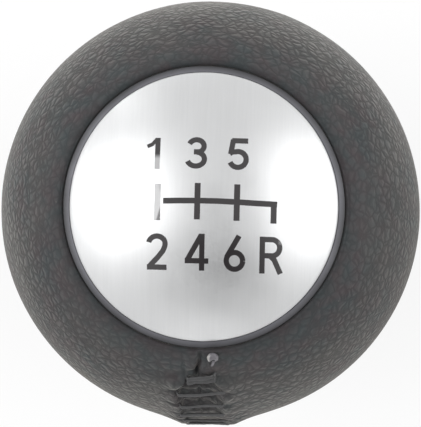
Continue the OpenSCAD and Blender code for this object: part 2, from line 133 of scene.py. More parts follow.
class CapSettings(PropertyGroup):
    radius: length("Radius", "Radius of the domed cap", CAP_HIGH.x - 0.02 * MM)
    top: length("Top", "Height of the cap's middle above the seat, under the ink", CAP_HIGH.z - 0.05 * MM)
    dome: length("Dome", "Radius of the cap's dome", 26 * MM)
    skirt: length("Skirt", "Height of the cap's turned down edge", 1.55 * MM)
    sheet: length("Sheet", "Thickness of the pressed sheet", 0.8 * MM)
    metal: colour("Metal", "Colour of the satin metal", (0.635, 0.64, 0.645))
    roughness: share("Roughness", "Roughness of the satin finish", 0.42)
    ink: colour("Ink", "Colour of the printed pattern", (0.010, 0.008, 0.009))
    # Painted reflection of a lamp on part of the ink.
    ink_painted_reflection: colour("Faded ink", "Colour of the ink where it is rubbed pale", (0.36, 0.36, 0.365))


class PatternSettings(PropertyGroup):
    stroke: length("Stroke", "Width of the strokes of the digits", 0.67 * MM)
    gate_stroke: length("Gate stroke", "Width of the gate's bars", 0.74 * MM)
    top_digit: length("Upper digit", "Height of the upper digits", 3.5 * MM)
    low_digit: length("Lower digit", "Height of the lower digits", 4.1 * MM)
    relief: length("Relief", "Height of the printed ink above the cap", 0.02 * MM)


class TrimSettings(PropertyGroup):
    bezel: colour("Bezel", "Colour of the bezel ring at its inner edge", (0.132, 0.132, 0.147))
    # Painted shade at the bezel's outer edge, beside the groove.
    bezel_shaded: colour("Dull bezel", "Colour of the bezel ring at its outer edge", (0.050, 0.050, 0.054))
    bezel_roughness: share("Bezel roughness", "Roughness of the bezel ring", 0.5)
    plastic: colour("Black plastic", "Colour of the collar and the carrier", (0.018, 0.018, 0.019))
    core: colour("Core", "Colour of the moulded core", (0.028, 0.029, 0.031))
    steel: colour("Steel", "Colour of the plated steel", (0.62, 0.62, 0.63))
    iron: colour("Iron", "Colour of the cast weight", (0.16, 0.16, 0.165))
    brass: colour("Brass", "Colour of the threaded insert", (0.72, 0.50, 0.20))
    tape: colour("Tape", "Colour of the adhesive disc", (0.03, 0.03, 0.03))
    foam: colour("Padding", "Colour of the padding", (0.045, 0.045, 0.048))


class StageSettings(PropertyGroup):
    floor: colour("Floor", "Colour of the floor", (0.86, 0.86, 0.86))
    lean_right: angle("Lean right", "How far the camera stands to the right of straight above", 2.40)
    lean_near: angle("Lean near", "How far the camera stands to the front of straight above", 1.27)
    roll: angle("Roll", "How far the camera is turned about its own axis", 1.4)
    distance: length("Distance", "Distance of the camera from the ball's centre", 330 * MM)
    lens: FloatProperty(name="Lens", description="Focal length in millimetres", default=155.1)


SETTINGS = {"knob_leather": LeatherSettings, "knob_lacing": LacingSettings, "knob_cap": CapSettings,
            "knob_pattern": PatternSettings, "knob_trim": TrimSettings, "knob_stage": StageSettings}


# Meshes

AXIS_GAP = 0.003 * MM


def new_piece(name, verts, faces, material, smooth=True):
    """Adds a piece to the scene from its verts, faces and material."""
    mesh = bpy.data.meshes.new(name)
    mesh.from_pydata([tuple(v) for v in verts], [], [tuple(f) for f in faces])
    mesh.validate()
    mesh.update()
    if smooth:
        mesh.polygons.foreach_set("use_smooth", [True] * len(mesh.polygons))
    piece = bpy.data.objects.new(name, mesh)
    bpy.context.scene.collection.objects.link(piece)
    mesh.materials.append(material)
    return piece


class Parts:
    """Verts and faces of a piece that is joined from several parts."""

    def __init__(self):
        self.verts, self.faces = [], []

    def add(self, verts, faces):
        base = len(self.verts)
        self.verts.extend(tuple(v) for v in verts)
        self.faces.extend(tuple(i + base for i in face) for face in faces)

    def piece(self, name, material, smooth=True):
        return new_piece(name, self.verts, self.faces, material, smooth)


def grid_faces(rows, cols, closed=False):
    """Quads of a grid that wraps round its columns; point (row, col) has the index row * cols + col."""
    r, c = np.meshgrid(np.arange(rows if closed else rows - 1), np.arange(cols), indexing="ij")
    r1, c1 = (r + 1) % rows, (c + 1) % cols
    return np.stack([r * cols + c, r * cols + c1, r1 * cols + c1, r1 * cols + c], axis=-1).reshape(-1, 4)


def full_turn(steps):
    """Evenly spaced angles round the upright axis."""
    return np.linspace(0, 2 * math.pi, steps, endpoint=False)


def turned(r, z, a):
    """Points at the radius r and the height z, at the angles a about the upright axis."""
    return np.stack([r * np.cos(a), r * np.sin(a), z + 0 * a], axis=-1)


def lathe(name, outline, material, turns, split):
    """Closed (r, z) outline turned about the upright axis; edges sharper than split degrees stay crisp."""
    r, z = np.array(outline).T[:, :, None]
    verts = turned(np.maximum(r, AXIS_GAP), z, full_turn(turns)).reshape(-1, 3)
    piece = new_piece(name, verts, grid_faces(len(outline), turns, closed=True)[:, ::-1], material)
    sharpen(piece, split)
    return piece


def sharpen(piece, degrees):
    """Marks the edges that are sharper than this, so that the rest shades round."""
    bm = bmesh.new()
    bm.from_mesh(piece.data)
    for e in bm.edges:
        if len(e.link_faces) == 2 and e.calc_face_angle(0) > math.radians(degrees):
            e.smooth = False
    bm.to_mesh(piece.data)
    bm.free()


def rounded(outline, radii, steps=6):
    """Closed outline whose corners are rounded; radii holds one radius in millimetres for each corner."""
    out = []
    for i, (p, r) in enumerate(zip(outline, radii)):
        p = Vector(p)
        if r <= 0:
            out.append(tuple(p))
            continue
        r *= MM
        a = (Vector(outline[i - 1]) - p).normalized()
        b = (Vector(outline[(i + 1) % len(outline)]) - p).normalized()
        half = a.angle(b) / 2
        reach = r / math.tan(half)
        centre = p + (a + b).normalized() * (r / math.sin(half))
        start, end = p + a * reach - centre, p + b * reach - centre
        out += [tuple(centre + start.lerp(end, k / steps).normalized() * r) for k in range(steps + 1)]
    return out


def oval_arc(x, y, wide, high, start, end, n=18):
    """Points of an oval's arc between two angles in degrees."""
    angles = [math.radians(start + (end - start) * i / n) for i in range(n + 1)]
    return [(x + wide * math.cos(a), y + high * math.sin(a)) for a in angles]


def arc(x, y, radius, start, end, n):
    return oval_arc(x, y, radius, radius, start, end, n)


def smooth_step(low, high, value):
    """Rises smoothly from 0 at low to 1 at high."""
    t = np.clip((value - low) / (high - low), 0, 1)
    return t * t * (3 - 2 * t)


def smooth_degrees(low, high, a):
    return smooth_step(math.radians(low), math.radians(high), a)


def bump_at(value, middle, width):
    """Bell curve that is 1 in the middle."""
    return np.exp(-((value - middle) / width) ** 2)


def tube_along(path, radii, sides=10, lobes=0, twist=0.0, squash=1.0, side=None):
    """Verts and faces of a closed tube along a path; lobes and twist lay the strands of a thread round it."""
    path = [Vector(p) for p in path]
    n = len(path)
    verts, faces = [], []
    tangent = [(path[min(i + 1, n - 1)] - path[max(i - 1, 0)]).normalized() for i in range(n)]
    side = (side or tangent[0].orthogonal()).normalized()
    run = 0.0
    for i, p in enumerate(path):
        if i:
            run += (path[i] - path[i - 1]).length
        side = (side - tangent[i] * side.dot(tangent[i])).normalized()
        up = tangent[i].cross(side)
        r = radii[i] if hasattr(radii, "__len__") else radii
        for k in range(sides):
            a = 2 * math.pi * k / sides
            strand = 0.86 + 0.14 * abs(math.cos(lobes * (a - twist * run) / 2)) ** 0.8 if lobes else 1.0
            verts.append(p + (side * math.cos(a) + up * math.sin(a) * squash) * (r * strand))
    for i in range(n - 1):
        for k in range(sides):
            k1 = (k + 1) % sides
            faces.append((i * sides + k, i * sides + k1, (i + 1) * sides + k1, (i + 1) * sides + k))
    faces.append(tuple(range(sides - 1, -1, -1)))
    faces.append(tuple((n - 1) * sides + k for k in range(sides)))
    return verts, faces


# Materials

class Wiring:
    """Short calls for adding and linking nodes in one tree."""

    def __init__(self, tree):
        self.tree = tree

    def link(self, source, target):
        self.tree.links.new(source, target)

    def add(self, kind, links=None, **values):
        """Adds a node; links holds a socket or a plain value for each of its inputs."""
        node = self.tree.nodes.new(kind)
        for key, value in values.items():
            setattr(node, key, value)
        for key, value in (links or {}).items():
            if isinstance(value, NodeSocket):
                self.link(value, node.inputs[key])
            else:
                node.inputs[key].default_value = value
        return node

    def maths(self, operation, a, b=0.0, c=None, clamp=False):
        links = {0: a, 1: b}
        if c is not None:
            links[2] = c
        return self.add("ShaderNodeMath", links, operation=operation, use_clamp=clamp).outputs[0]

    def ramp(self, value, low, high, out_low=0.0, out_high=1.0, curve="LINEAR"):
        links = {"Value": value, "From Min": low, "From Max": high, "To Min": out_low, "To Max": out_high}
        return self.add("ShaderNodeMapRange", links, interpolation_type=curve).outputs[0]

    def soft_ramp(self, value, low, high, out_low=0.0, out_high=1.0):
        return self.ramp(value, low, high, out_low, out_high, "SMOOTHSTEP")

    def blend(self, factor, a, b):
        return self.add("ShaderNodeMix", {0: factor, 2: a, 3: b}).outputs[0]

    def mix(self, factor, a, b):
        """Blends two colours, each a socket or three numbers."""
        a, b = (value if isinstance(value, NodeSocket) else (*value, 1.0) for value in (a, b))
        return self.add("ShaderNodeMix", {0: factor, 6: a, 7: b}, data_type="RGBA").outputs[2]

    def vector(self, operation, a, b, second=1):
        return self.add("ShaderNodeVectorMath", {0: a, second: b}, operation=operation).outputs[0]

    def dot(self, vector, direction):
        node = self.add("ShaderNodeVectorMath", {0: vector, 1: direction}, operation="DOT_PRODUCT")
        return node.outputs["Value"]

    def from_axis(self, place):
        """Distance from the upright axis."""
        level = self.vector("MULTIPLY", place, (1.0, 1.0, 0.0))
        return self.add("ShaderNodeVectorMath", {0: level}, operation="LENGTH").outputs["Value"]

    def parts(self, vector):
        return self.add("ShaderNodeSeparateXYZ", {0: vector}).outputs

    def noise(self, place, scale, detail, output="Fac"):
        links = {"Vector": place, "Scale": scale, "Detail": detail}
        return self.add("ShaderNodeTexNoise", links).outputs[output]

    def cells(self, place, scale, feature="F1"):
        return self.add("ShaderNodeTexVoronoi", {"Vector": place, "Scale": scale}, feature=feature).outputs


def group_tree(name, inputs, outputs):
    """A shader node group; an input without a default is a vector, and all else are numbers."""
    tree = bpy.data.node_groups.new(name, "ShaderNodeTree")
    for label, default in inputs.items():
        kind = "NodeSocketVector" if default is None else "NodeSocketFloat"
        socket = tree.interface.new_socket(name=label, in_out="INPUT", socket_type=kind)
        if default is not None:
            socket.default_value = default
    for label in outputs:
        tree.interface.new_socket(name=label, in_out="OUTPUT", socket_type="NodeSocketFloat")
    return Wiring(tree), tree.nodes.new("NodeGroupInput").outputs, tree.nodes.new("NodeGroupOutput").inputs


@cache
def pebble_grain():
    """Cells of a hide: their height, a mask of the creases between them and broad patches."""
    inputs = {"Position": None, "Pebbles per metre": 1600.0, "Unevenness": 0.5}
    w, source, out = group_tree("Pebble grain", inputs, ("Height", "Creases", "Patches"))
    place, scale = source["Position"], source["Pebbles per metre"]
    drift = w.noise(place, w.maths("MULTIPLY", scale, 0.55), 3.0, "Color")
    warp = w.vector("SUBTRACT", drift, (0.5, 0.5, 0.5))
    reach = w.maths("MULTIPLY", w.maths("DIVIDE", source["Unevenness"], scale), 2.2)
    moved = w.vector("ADD", place, w.vector("SCALE", warp, reach, "Scale"))
    edge = w.cells(moved, scale, "DISTANCE_TO_EDGE")["Distance"]
    small = w.cells(moved, w.maths("MULTIPLY", scale, 1.9))["Distance"]
    fine = w.noise(place, w.maths("MULTIPLY", scale, 2.0), 2.0)
    broad = w.noise(place, w.maths("MULTIPLY", scale, 0.14), 4.0)
    sharp = w.maths("MULTIPLY", w.ramp(edge, 0.0, 0.16), 0.02)
    height = w.maths("MULTIPLY_ADD", w.soft_ramp(edge, -0.08, 0.46), 0.88, sharp)
    for part, weight in ((small, -0.16), (fine, 0.08), (broad, 1.3)):
        height = w.maths("MULTIPLY_ADD", part, weight, height)
    w.link(height, out["Height"])
    w.link(w.soft_ramp(edge, 0.24, 0.0), out["Creases"])
    w.link(w.ramp(broad, 0.35, 0.68), out["Patches"])
    return w.tree


@cache
def dust_specks():
    """A mask of fine specks of dust."""
    inputs = {"Position": None, "Specks per metre": 700.0, "Amount": 0.1}
    w, source, out = group_tree("Dust", inputs, ("Specks",))
    dots = w.cells(source["Position"], source["Specks per metre"])
    chosen = w.ramp(w.add("ShaderNodeSeparateColor", {"Color": dots["Color"]}).outputs[0], 0.93, 0.95)
    specks = w.maths("MULTIPLY", chosen, w.ramp(dots["Distance"], 0.10, 0.04))
    w.link(w.maths("MULTIPLY", specks, source["Amount"], clamp=True), out["Specks"])
    return w.tree


@cache
def fine_texture():
    """Even fine relief of moulded, cast and satin surfaces, with an uneven sheen."""
    inputs = {"Position": None, "Grains per metre": 4000.0, "Low": 0.4, "High": 0.6}
    w, source, out = group_tree("Fine texture", inputs, ("Height", "Roughness", "Shade"))
    grains = source["Grains per metre"]
    fine = w.noise(source["Position"], grains, 3.0)
    wide = w.noise(source["Position"], w.maths("MULTIPLY", grains, 0.05), 5.0)
    sheen = w.maths("MULTIPLY_ADD", fine, 0.5, w.maths("MULTIPLY", wide, 0.5))
    w.link(fine, out["Height"])
    w.link(w.ramp(sheen, 0.35, 0.65, source["Low"], source["High"]), out["Roughness"])
    w.link(w.ramp(wide, 0.3, 0.7), out["Shade"])
    return w.tree


class Finish(Wiring):
    """A material in the making; constants are values of the shader's own sockets."""

    def __init__(self, name, **constants):
        self.material = bpy.data.materials.new(name)
        self.material.use_nodes = True
        super().__init__(self.material.node_tree)
        self.shader = self.tree.nodes["Principled BSDF"]
        for key, value in constants.items():
            self.shader.inputs[key.replace("_", " ")].default_value = value
        self.place = self.add("ShaderNodeTexCoord").outputs["Object"]

    def use(self, maker, **values):
        """Outputs of a shared node group placed with these values."""
        links = {key.replace("_", " "): value for key, value in values.items()}
        return self.add("ShaderNodeGroup", {"Position": self.place, **links}, node_tree=maker()).outputs

    def colour(self, shade):
        self.link(shade, self.shader.inputs["Base Color"])

    def surface(self, shade, roughness, height=None, strength=0.0, depth=0.0):
        """Links the colour, the roughness and the relief, and gives the finished material."""
        self.colour(shade)
        self.link(roughness, self.shader.inputs["Roughness"])
        if height is not None:
            relief = self.add("ShaderNodeBump", {"Height": height, "Strength": strength, "Distance": depth})
            self.link(relief.outputs[0], self.shader.inputs["Normal"])
        return self.material


def toned(tint, factor=1.0):
    """A colour times a factor, or times one factor for each channel."""
    return tuple(min(c * k, 1.0) for c, k in zip(tint, np.broadcast_to(factor, 3)))


def leather_material(s):
    """Dyed hide with paler patches towards the girth, partly wear and partly painted rim light, painted shade
    in the grain's creases and painted shade beside the bezel, where the hide is nearly smooth.
    """
    w = Finish("Black pebbled leather", Specular_IOR_Level=0.4, Sheen_Weight=0.2, Sheen_Roughness=0.4,
               Sheen_Tint=(1.0, 0.96, 0.87, 1.0))
    grain = w.use(pebble_grain, Pebbles_per_metre=1 / s.grain, Unevenness=0.6)
    dust = w.use(dust_specks, Specks_per_metre=900.0, Amount=0.35)
    flat = w.from_axis(w.place)
    girth = w.ramp(flat, s.mouth_radius, s.mouth_radius + 5 * MM)
    grained = w.maths("MULTIPLY_ADD", girth, 0.75, 0.25)
    cool, warm = toned(s.hide, (0.75, 1.08, 1.12)), toned(s.hide, (1.27, 0.93, 1.0))
    shade = w.mix(w.ramp(w.noise(w.place, 420.0, 3.0), 0.36, 0.64), cool, warm)
    # Paler warm patches towards the girth: partly wear, partly painted rim light.
    shade = w.mix(w.maths("MULTIPLY", girth, grain["Patches"]), shade, toned(s.worn_and_rim_lit_hide))
    # Painted shade in the grain's creases.
    painted_crease_shade = w.maths("MULTIPLY", grain["Creases"], w.maths("MULTIPLY", grained, 0.4))
    shade = w.mix(painted_crease_shade, shade, toned(s.hide, 0.45))
    shade = w.mix(w.maths("MULTIPLY", dust["Specks"], 0.8), shade, (0.3, 0.29, 0.27))
    # Painted shade in the groove beside the bezel.
    painted_groove_shade = w.ramp(flat, s.mouth_radius + 0.2 * MM, s.mouth_radius + 1.9 * MM, 0.45, 0.0)
    shade = w.mix(painted_groove_shade, shade, toned(s.hide, 0.3))
    rough = w.maths("MULTIPLY_ADD", grain["Creases"], 0.18, s.roughness)
    rough = w.maths("MULTIPLY_ADD", grain["Patches"], -0.06, rough)
    height = w.maths("MULTIPLY", grain["Height"], grained)
    return w.surface(shade, rough, height, s.grain_relief, s.grain * 0.35)


def even_finish(name, dark, light, low, high, grains=4000.0, relief=0.2, depth=0.03 * MM, **constants):
    """Finish that drifts between two colours, with an uneven sheen and a fine relief."""
    w = Finish(name, **constants)
    fine = w.use(fine_texture, Grains_per_metre=grains, Low=low, High=high)
    return w.surface(w.mix(fine["Shade"], dark, light), fine["Roughness"], fine["Height"], relief, depth)


def plain_finish(name, tint, low, high, spread=0.12, **values):
    """Moulded, cast, turned or plated finish."""
    return even_finish(name, toned(tint, 1 - spread), toned(tint, 1 + spread), low, high, **values)


def melted_material(s):
    """Glossy melted thread, with a painted highlight on its left side."""
    w = Finish("Melted thread", Specular_IOR_Level=0.5)
    fine = w.use(fine_texture, Grains_per_metre=9000.0, Low=0.10, High=0.26)
    # Painted highlight on the left side of the melted end.
    pale = w.soft_ramp(w.parts(w.place)[0], s.knot_side - 0.26 * MM, s.knot_side - 0.50 * MM)
    shade = w.mix(fine["Shade"], toned(s.melted), toned(s.melted, 1.5))
    shade = w.mix(pale, shade, toned(s.melted_highlight))
    return w.surface(shade, fine["Roughness"], fine["Height"], 0.15, 0.05 * MM)


def satin_metal(s):
    """Pressed sheet with fine upright brushing, seen as faint streaks."""
    w = Finish("Satin cap metal", Metallic=1.0)
    stretched = w.vector("MULTIPLY", w.place, (1.0, 0.035, 0.035))
    streaks, broad = w.noise(stretched, 5200.0, 4.0), w.noise(stretched, 900.0, 3.0)
    fine = w.use(fine_texture, Grains_per_metre=5200.0, Low=s.roughness - 0.05, High=s.roughness + 0.05)
    dust = w.use(dust_specks, Specks_per_metre=420.0, Amount=0.5)
    level = w.maths("MULTIPLY_ADD", streaks, 0.6, w.maths("MULTIPLY", broad, 0.4))
    shade = w.mix(w.ramp(level, 0.3, 0.7), toned(s.metal, 0.965), toned(s.metal, 1.02))
    shade = w.mix(w.maths("MULTIPLY", dust["Specks"], 0.5), shade, (0.55, 0.56, 0.6))
    return w.surface(shade, fine["Roughness"], w.maths("MULTIPLY_ADD", streaks, 0.5, fine["Height"]), 0.12,
                     0.02 * MM)


def bezel_material(s):
    """Dark satin ring, lighter along its inner edge and darker towards the hide, a painted shade."""
    w = Finish("Dark satin bezel", Metallic=0.4)
    fine = w.use(fine_texture, Grains_per_metre=3600.0, Low=s.bezel_roughness - 0.06,
                 High=s.bezel_roughness + 0.06)
    uneven = w.maths("MULTIPLY_ADD", fine["Shade"], 0.12 * MM, w.from_axis(w.place))
    # Painted shade: darker from the inner edge towards the hide.
    painted_outer_shade = w.ramp(uneven, CAP_HIGH.x + 0.12 * MM, BEZEL_HIGH.x - 0.02 * MM)
    shade = w.mix(painted_outer_shade, toned(s.bezel), toned(s.bezel_shaded))
    shade = w.mix(w.maths("MULTIPLY", fine["Shade"], 0.25), shade, toned(s.bezel_shaded, 0.8))
    return w.surface(shade, fine["Roughness"], fine["Height"], 0.12, 0.03 * MM)


def ink_material(s):
    """Glossy ink, with a painted reflection on the lower part of the digit 1 and on the gate's left leg."""
    w = Finish("Glossy ink", Specular_IOR_Level=0.1, Coat_Weight=1.0, Coat_IOR=1.66, Coat_Roughness=0.04)
    fine = w.use(fine_texture, Grains_per_metre=3000.0, Low=0.25, High=0.35)
    across, along = w.parts(w.place)[:2]
    slant = w.dot(w.place, (-0.96, 0.28, 0.0))
    # Painted reflection of a lamp on the lower part of the digit 1 and on the gate's left leg.
    painted_reflection = w.maths("MULTIPLY", w.soft_ramp(across, -4.45 * MM, -4.65 * MM),
                    w.soft_ramp(slant, 4.25 * MM, 4.50 * MM))
    between = w.maths("MULTIPLY", w.soft_ramp(along, -2.6 * MM, -2.2 * MM),
                      w.soft_ramp(along, 5.75 * MM, 5.05 * MM))
    shade = w.mix(fine["Shade"], toned(s.ink), toned(s.ink, 1.6))
    shade = w.mix(w.maths("MULTIPLY", painted_reflection, between), shade, toned(s.ink_painted_reflection))
    return w.surface(shade, fine["Roughness"])


# Leather

def bar_angles(t):
    """Angle of each thread bar from the top of the ball; the upper bars are pulled a little out of step."""
    i = np.arange(t.bars)
    pulled_up = 1.9 * bump_at(i, 0, 1.7)
    pulled_down = 0.9 * bump_at(i, 4.3, 1.6)
    return t.first + i * t.step + np.radians(pulled_down - pulled_up)


def seam_middle(a):
    """Distance of the lacing's middle from the ball's meridian; it wanders to the right at the girth."""
    wander = 0.43 * MM
    return wander * smooth_degrees(68, 86, a) * (1 - smooth_degrees(100, 118, a))


def reach_share(index, turn, lag):
    """Distance of a bar's end from the seam, as a share of the usual one; the first bar is short."""
    return 1 - 0.34 * np.exp(-(index / 0.6) ** 2) + 0.07 * np.sin(index * turn - lag)


def reach_left(index):
    return reach_share(index, 2.6, 1.3)


def reach_right(index):
    return reach_share(index, 2.1, 0.5)


def seam_relief(x, a, s, t):
    """Height of the hide above the round at a distance x from the seam and an angle a from the top."""
    bars = bar_angles(t)
    first, last = bars[0], bars[-1]
    above_last = 1 - smooth_step(last + 0.1 * t.step, last + 1.1 * t.step, a)
    inside = smooth_step(first - 0.22 * t.step, first + 0.34 * t.step, a) * above_last
    index = np.interp(a, bars, np.arange(t.bars))
    index = index + np.minimum(a - first, 0) / t.step + np.maximum(a - last, 0) / t.step
    return inside * laced_relief(x, a, index, s, t) + (1 - inside) * closed_relief(x, a, first, s)


def laced_relief(x, a, index, s, t):
    """Lips, valley, stitch holes and creases of the laced part; index counts the bars from the first."""
    across = x - seam_middle(a)
    side = np.abs(across)
    at_left = across < 0
    phase = np.cos(index * 2 * math.pi)
    off_bar = (index - np.round(index)) * t.step
    girth = smooth_degrees(65, 75, a)
    lip = np.exp(-(np.maximum(side - s.crest, 0) / s.lip_fall) ** 1.15)
    lip = lip * (1 - smooth_step(7 * MM, 8.3 * MM, side))
    wobble = np.sin(a * 37.0 + np.sign(across) * 1.3) * 0.08 + np.sin(a * 71.0 + across * 900.0) * 0.06
    crest = s.lip_height * (1 - 0.09 * (1 + phase) + wobble) * lip
    raised_bed = 0.15 * MM
    bed = -s.valley_depth * (0.86 - 0.34 * phase) * (1 - girth) + raised_bed * girth
    left, right = reach_left(np.maximum(index, 0)), reach_right(np.maximum(index, 0))
    near_wall = smooth_step(s.crest * (0.16 * girth - 0.96), s.crest * (0.12 * girth - 0.74), across / left)
    far_wall = 1 - smooth_step(s.crest * 0.24, s.crest * 0.94, across / right)
    wall = near_wall * far_wall
    laced = crest * (1 - wall) + bed * wall
    holes = bump_at(side, t.half * 1.04, 0.35 * MM) * bump_at(off_bar, 0, math.radians(0.75))
    holes = holes * np.where(at_left, 0.3 * MM, 0.16 * MM)
    pulls = smooth_step(t.half * 1.75, t.half * 1.05, side) * smooth_step(t.half * 0.9, t.half * 1.05, side)
    pulls = pulls * bump_at(off_bar + (side - t.half) * 1.6, 0, math.radians(0.42)) * 0.26 * MM
    laced = laced - holes * (1 - 0.7 * girth) - np.where(at_left, pulls * (1 - 0.8 * girth), pulls * 0.25)
    creases = bump_at(side, s.crest * 1.45, 1.6 * MM) * np.sin(index * 9.3 + side * 1500 + np.sin(a * 23) * 2)
    laced = laced + creases * 0.03 * MM * np.clip(lip * 1.5, 0, 1)
    slit = -0.35 * MM * bump_at(across, -0.3 * MM, 0.22 * MM) * (1 - girth)
    return laced + slit


def closed_relief(x, a, first, s):
    """The closed crease above the first bar, with a flap beside it, a step at its left and a fold below."""
    mouth_a = math.radians(41.2)
    drift = -0.5 * MM * smooth_step(mouth_a, first, a) * (1 - smooth_step(first, first + 0.3, a))
    deeper = 0.6 + 0.7 * smooth_step(mouth_a, first - math.radians(2), a)
    gap = bump_at(x, drift, s.crease_width * 0.6) * deeper
    flap = bump_at(x, drift - 0.75 * MM, 0.5 * MM) * 0.14 * MM
    flap = flap - bump_at(x, drift + 0.5 * MM, 0.6 * MM) * 0.05 * MM
    edge = bump_at(x, -1.85 * MM, 0.2 * MM) * smooth_degrees(40, 47.5, a) * 0.16 * MM
    fold = bump_at(a, first - math.radians(2.1), math.radians(1.0))
    fold = bump_at(x, -0.85 * MM, 0.6 * MM) * fold * 0.42 * MM
    above_bar = 1 - smooth_step(first - 0.02, first, a)
    above = (flap - edge) * smooth_step(math.radians(39), mouth_a, a) * above_bar
    return above - fold - s.crease_depth * gap


def leather_profile(s, count):
    """Points and normals of the hide's outer face from the tuck, over the roll and the ball, to the foot."""
    r, z0 = s.ball_radius, s.ball_height
    roll_x = s.mouth_radius + s.roll_radius
    roll_a = math.degrees(math.acos(roll_x / (r - s.roll_radius)))
    roll_z = z0 + (r - s.roll_radius) * math.sin(math.radians(roll_a))
    hollow_x = s.neck_radius + s.hollow_radius
    hollow_z = z0 - math.sqrt((r + s.hollow_radius) ** 2 - hollow_x ** 2)
    hollow_a = math.degrees(math.atan2(z0 - hollow_z, -hollow_x))
    tuck_steps, neck_steps = 6, 4
    pts = [(s.mouth_radius, roll_z - s.tuck_depth * i / tuck_steps) for i in range(tuck_steps, 0, -1)]
    pts += arc(roll_x, roll_z, s.roll_radius, 180, roll_a, 10)
    pts += arc(0, z0, r, roll_a, hollow_a - 180, count)[1:]
    pts += arc(hollow_x, hollow_z, s.hollow_radius, hollow_a, 180, 30)[1:]
    pts += [(s.neck_radius, hollow_z + (s.foot_height - hollow_z) * i / neck_steps)
            for i in range(1, neck_steps + 1)]
    pts = np.array(pts)
    along = np.gradient(pts, axis=0)
    along /= np.linalg.norm(along, axis=1)[:, None]
    normal = np.stack([-along[:, 1], along[:, 0]], axis=1)
    outward = np.stack([pts[:, 0], pts[:, 1] - z0], axis=1)
    normal[(normal * outward).sum(axis=1) < 0] *= -1
    return pts, normal


def seam_turns(s):
    """Angles round the ball, close together at the seam."""
    fine, reach, coarse = 0.16 * MM, 8.5 * MM, 140
    half = reach / s.ball_radius
    near = np.linspace(-half, half, int(2 * reach / fine))
    far = np.linspace(half, 2 * math.pi - half, coarse)[1:-1]
    return np.concatenate([near, far])


def hide_waves(points):
    """Slow unevenness of the hide, worked out on a coarser grid and blended between its points."""
    coarse = np.array([[noise.noise(Vector(p * 260)) for p in row] for row in points[::6, ::4]])
    rows = np.linspace(0, coarse.shape[0] - 1, points.shape[0])
    cols = np.linspace(0, coarse.shape[1] - 1, points.shape[1])
    r0, c0 = np.floor(rows).astype(int), np.floor(cols).astype(int)
    r1, c1 = np.minimum(r0 + 1, coarse.shape[0] - 1), np.minimum(c0 + 1, coarse.shape[1] - 1)
    fr, fc = (rows - r0)[:, None], (cols - c0)[None, :]
    return (coarse[r0][:, c0] * (1 - fr) * (1 - fc) + coarse[r1][:, c0] * fr * (1 - fc)
            + coarse[r0][:, c1] * (1 - fr) * fc + coarse[r1][:, c1] * fr * fc)


def build_leather(s, t, material):
    """Hide from its tuck beside the bezel to the foot of the neck, with the laced seam raised out of it."""
    pts, normal = leather_profile(s, 250)
    turn = seam_turns(s)
    around = turn - math.pi / 2
    r, level = pts.T[:, :, None]
    skin, outward = turned(r, level, around), turned(*normal.T[:, :, None], around)
    x, y, z = np.moveaxis(skin, -1, 0)
    a = np.arctan2(-y, z - s.ball_height)
    seam_side = np.where(np.cos(turn)[None, :] > 0.3, 1.0, 0.0)
    on_roll = smooth_step(s.mouth_radius + 0.05 * MM, s.mouth_radius + 0.6 * MM, r)
    on_neck = np.where(a > math.radians(150), np.clip((z - s.foot_height) / (6 * MM), 0.25, 1), 1.0)
    height = seam_relief(x, a, s, t) * seam_side * on_roll * on_neck
    height = height + hide_waves(skin) * 0.04 * MM * on_roll
    outer = skin + outward * height[..., None]
    inner = skin + outward * (np.minimum(height, 0) - s.thickness * 0.96)[..., None]
    keep = list(range(0, len(pts), 5)) + ([len(pts) - 1] if (len(pts) - 1) % 5 else [])
    rows, cols = outer.shape[:2]
    hide = Parts()
    hide.add(outer.reshape(-1, 3), grid_faces(rows, cols)[:, ::-1])
    hide.add(inner[keep].reshape(-1, 3), grid_faces(len(keep), cols))
    base, foot = rows * cols, (rows - 1) * cols
    inner_foot = base + (len(keep) - 1) * cols
    for c in range(cols):
        c1 = (c + 1) % cols
        hide.faces += [(c, c1, base + c1, base + c), (foot + c1, foot + c, inner_foot + c, inner_foot + c1)]
    return hide.piece("leather_skin", material)


# Lacing

def seam_point(s, x, height, a):
    """Point at a distance x across the seam and a height above the round, at an angle a from the top."""
    r = s.ball_radius + height
    return Vector((x, -r * math.sin(a), s.ball_height + r * math.cos(a)))


def depth_under_hide(s, t):
    """Height of the thread's hidden runs, counted from the round of the ball."""
    return -s.thickness - t.thickness / 2 - 0.05 * MM


def thread_bar(s, t, number, a, slant, swell, lift=0.0):
    """One bar of thread from its left hole, over the valley, to its right hole."""
    r, under = t.thickness / 2, depth_under_hide(s, t)
    steps, twist = 48, 2 * math.pi / (1.7 * MM)
    middle, bar = seam_middle(a), round(number)
    left, right = t.half * reach_left(bar), t.half * reach_right(bar)
    path, radii = [seam_point(s, middle - left, under, a - slant)], [r]
    for k in range(steps + 1):
        u = -1 + 2 * k / steps
        end = smooth_step(0.88, 1.0, np.float64(abs(u)))
        sag = -0.07 * MM * (1 - u * u) + 0.035 * MM * math.sin(number * 1.7 + u * 3)
        x = middle + (left if u < 0 else right) * u
        flat = math.sqrt(max(s.ball_radius ** 2 - x * x, 0)) - s.ball_radius
        bend = math.radians(0.22) * math.sin(number * 2.1 + u * 2.6)
        height = t.bed + lift + sag + flat * 0.2 - end * 0.45 * MM
        path.append(seam_point(s, x, height, a + slant * u + bend))
        radii.append(r * (swell + 0.09 * math.sin(number * 3.1 + u * 5.0)))
    path.append(seam_point(s, middle + right, under, a + slant))
    radii.append(r)
    meridian = Vector((0, -math.cos(a), -math.sin(a)))
    return tube_along(path, radii, sides=16, lobes=2, twist=twist, squash=t.flatness, side=meridian)


